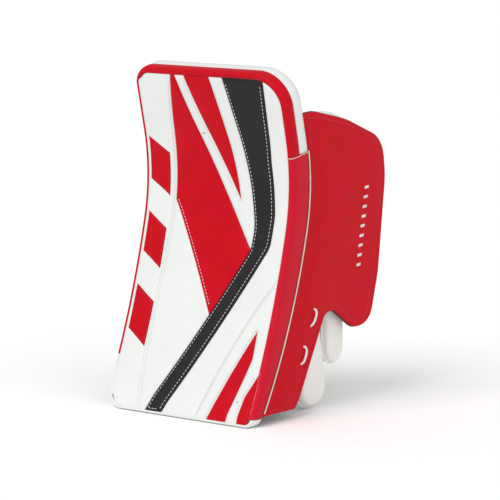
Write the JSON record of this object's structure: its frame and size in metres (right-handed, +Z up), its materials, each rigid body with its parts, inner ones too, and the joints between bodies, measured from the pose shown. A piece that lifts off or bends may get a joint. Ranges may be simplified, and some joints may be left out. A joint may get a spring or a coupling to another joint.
{
  "type": "goalie blocker",
  "caption": "Curved padded rectangular hockey goaltender blocker with side shield, hinged finger and thumb protection, open-backed glove, cuff and wrist strap.",
  "frame": {"origin": "centre of the flat toe of the board that it stands on", "axes": "+X across the board towards the thumb side, +Y from the face towards the hand, +Z up from the toe to the top edge"},
  "size_m": [0.2062, 0.2389, 0.3725],
  "materials": {
    "red_leather": "satin",
    "sidewall_leather": "satin",
    "white_leather": "satin",
    "warm_white_leather": "satin",
    "black_leather": "satin",
    "cream_cord": "matte",
    "white_lace": "matte",
    "grey_foam": "matte",
    "white_plastic": "matte",
    "black_nylon": "matte",
    "palm_leather": "matte",
    "patch_leather": "matte",
    "black_webbing": "matte",
    "black_hook": "matte",
    "screw_steel": "satin"
  },
  "bodies": {
    "board": {"back_cover": "black_nylon", "back_foam": "grey_foam", "cuff": "black_nylon", "cuff_pad": "warm_white_leather", "edge_binding": "red_leather", "edge_gusset": "warm_white_leather", "face_field": "red_leather", "face_inner_column": "white_leather", "face_lower_panel": "white_leather", "face_outer_column": "white_leather", "face_rays": "white_leather", "face_stripe": "black_leather", "face_toe_corner": "red_leather", "face_toe_panel": "white_leather", "face_toe_ray": "red_leather", "face_wedge": "red_leather", "front_foam": "grey_foam", "glove_back": "black_nylon", "hand_pad": "grey_foam", "inner_sidewall": "sidewall_leather", "pad_screws": "screw_steel", "palm": "palm_leather", "palm_patch": "patch_leather", "piping": "cream_cord", "shield_laces": "white_lace", "shield_liner": "black_nylon", "shield_plate": "white_plastic", "shield_skin": "red_leather", "stiffener": "white_plastic", "strap_anchor": "black_webbing", "strap_loop_patch": "black_hook", "tee_nuts": "screw_steel", "thumb_gusset": "black_nylon", "toe_gusset": "white_leather"},
    "strap": {"strap_web": "black_webbing", "strap_hook_patch": "black_hook", "strap_tab": "black_webbing"},
    "thumb": {"thumb_guard": "warm_white_leather", "thumb_guard_insert": "white_plastic", "thumb_stall": "palm_leather"},
    "index_flap": {"index_guard": "warm_white_leather", "index_guard_insert": "white_plastic"},
    "index_base": {"stall_index_base": "palm_leather"},
    "index_tip": {"stall_index_tip": "palm_leather"},
    "middle_base": {"stall_middle_base": "palm_leather"},
    "middle_tip": {"stall_middle_tip": "palm_leather"},
    "ring_base": {"stall_ring_base": "palm_leather"},
    "ring_tip": {"stall_ring_tip": "palm_leather"},
    "little_base": {"stall_little_base": "palm_leather"},
    "little_tip": {"stall_little_tip": "palm_leather"}
  },
  "joints": [
    {"name": "index_knuckle", "type": "hinge", "parent": "board", "child": "index_base", "pos_m": [0.0465, 0.088, 0.1405], "axis": [1, 0, 0], "range_deg": [-15, 22], "stiffness_Nm_per_rad": 0.15},
    {"name": "index_middle", "type": "hinge", "parent": "index_base", "child": "index_tip", "pos_m": [0.0465, 0.09765, 0.09511], "axis": [1, 0, 0], "range_deg": [-20, 28], "stiffness_Nm_per_rad": 0.1},
    {"name": "middle_knuckle", "type": "hinge", "parent": "board", "child": "middle_base", "pos_m": [0.0208, 0.088, 0.1405], "axis": [1, 0, 0], "range_deg": [-15, 22], "stiffness_Nm_per_rad": 0.15},
    {"name": "middle_middle", "type": "hinge", "parent": "middle_base", "child": "middle_tip", "pos_m": [0.0208, 0.09765, 0.09511], "axis": [1, 0, 0], "range_deg": [-20, 28], "stiffness_Nm_per_rad": 0.1},
    {"name": "ring_knuckle", "type": "hinge", "parent": "board", "child": "ring_base", "pos_m": [-0.0046, 0.088, 0.1405], "axis": [1, 0, 0], "range_deg": [-15, 22], "stiffness_Nm_per_rad": 0.15},
    {"name": "ring_middle", "type": "hinge", "parent": "ring_base", "child": "ring_tip", "pos_m": [-0.0046, 0.09765, 0.09511], "axis": [1, 0, 0], "range_deg": [-20, 28], "stiffness_Nm_per_rad": 0.1},
    {"name": "little_knuckle", "type": "hinge", "parent": "board", "child": "little_base", "pos_m": [-0.029, 0.088, 0.1405], "axis": [1, 0, 0], "range_deg": [-15, 22], "stiffness_Nm_per_rad": 0.15},
    {"name": "little_middle", "type": "hinge", "parent": "little_base", "child": "little_tip", "pos_m": [-0.029, 0.09765, 0.09511], "axis": [1, 0, 0], "range_deg": [-20, 28], "stiffness_Nm_per_rad": 0.1},
    {"name": "thumb_hinge", "type": "hinge", "parent": "board", "child": "thumb", "pos_m": [0.0755, 0.16, 0.184], "axis": [1, 0, 0], "range_deg": [0, 25], "stiffness_Nm_per_rad": 0.6},
    {"name": "index_flap_hinge", "type": "hinge", "parent": "board", "child": "index_flap", "pos_m": [0.0795, 0.108, 0.112], "axis": [1, 0, 0], "range_deg": [-12, 2], "stiffness_Nm_per_rad": 2},
    {"name": "wrist_strap_hinge", "type": "hinge", "parent": "board", "child": "strap", "pos_m": [-0.0515, 0.1692, 0.286], "axis": [0, 0, 1], "range_deg": [0, 110], "stiffness_Nm_per_rad": 0.1}
  ],
  "couplings": [
    {"joint": "index_middle", "follows": "index_knuckle", "ratio": 1},
    {"joint": "middle_middle", "follows": "middle_knuckle", "ratio": 1},
    {"joint": "ring_middle", "follows": "ring_knuckle", "ratio": 1},
    {"joint": "little_middle", "follows": "little_knuckle", "ratio": 1}
  ]
}
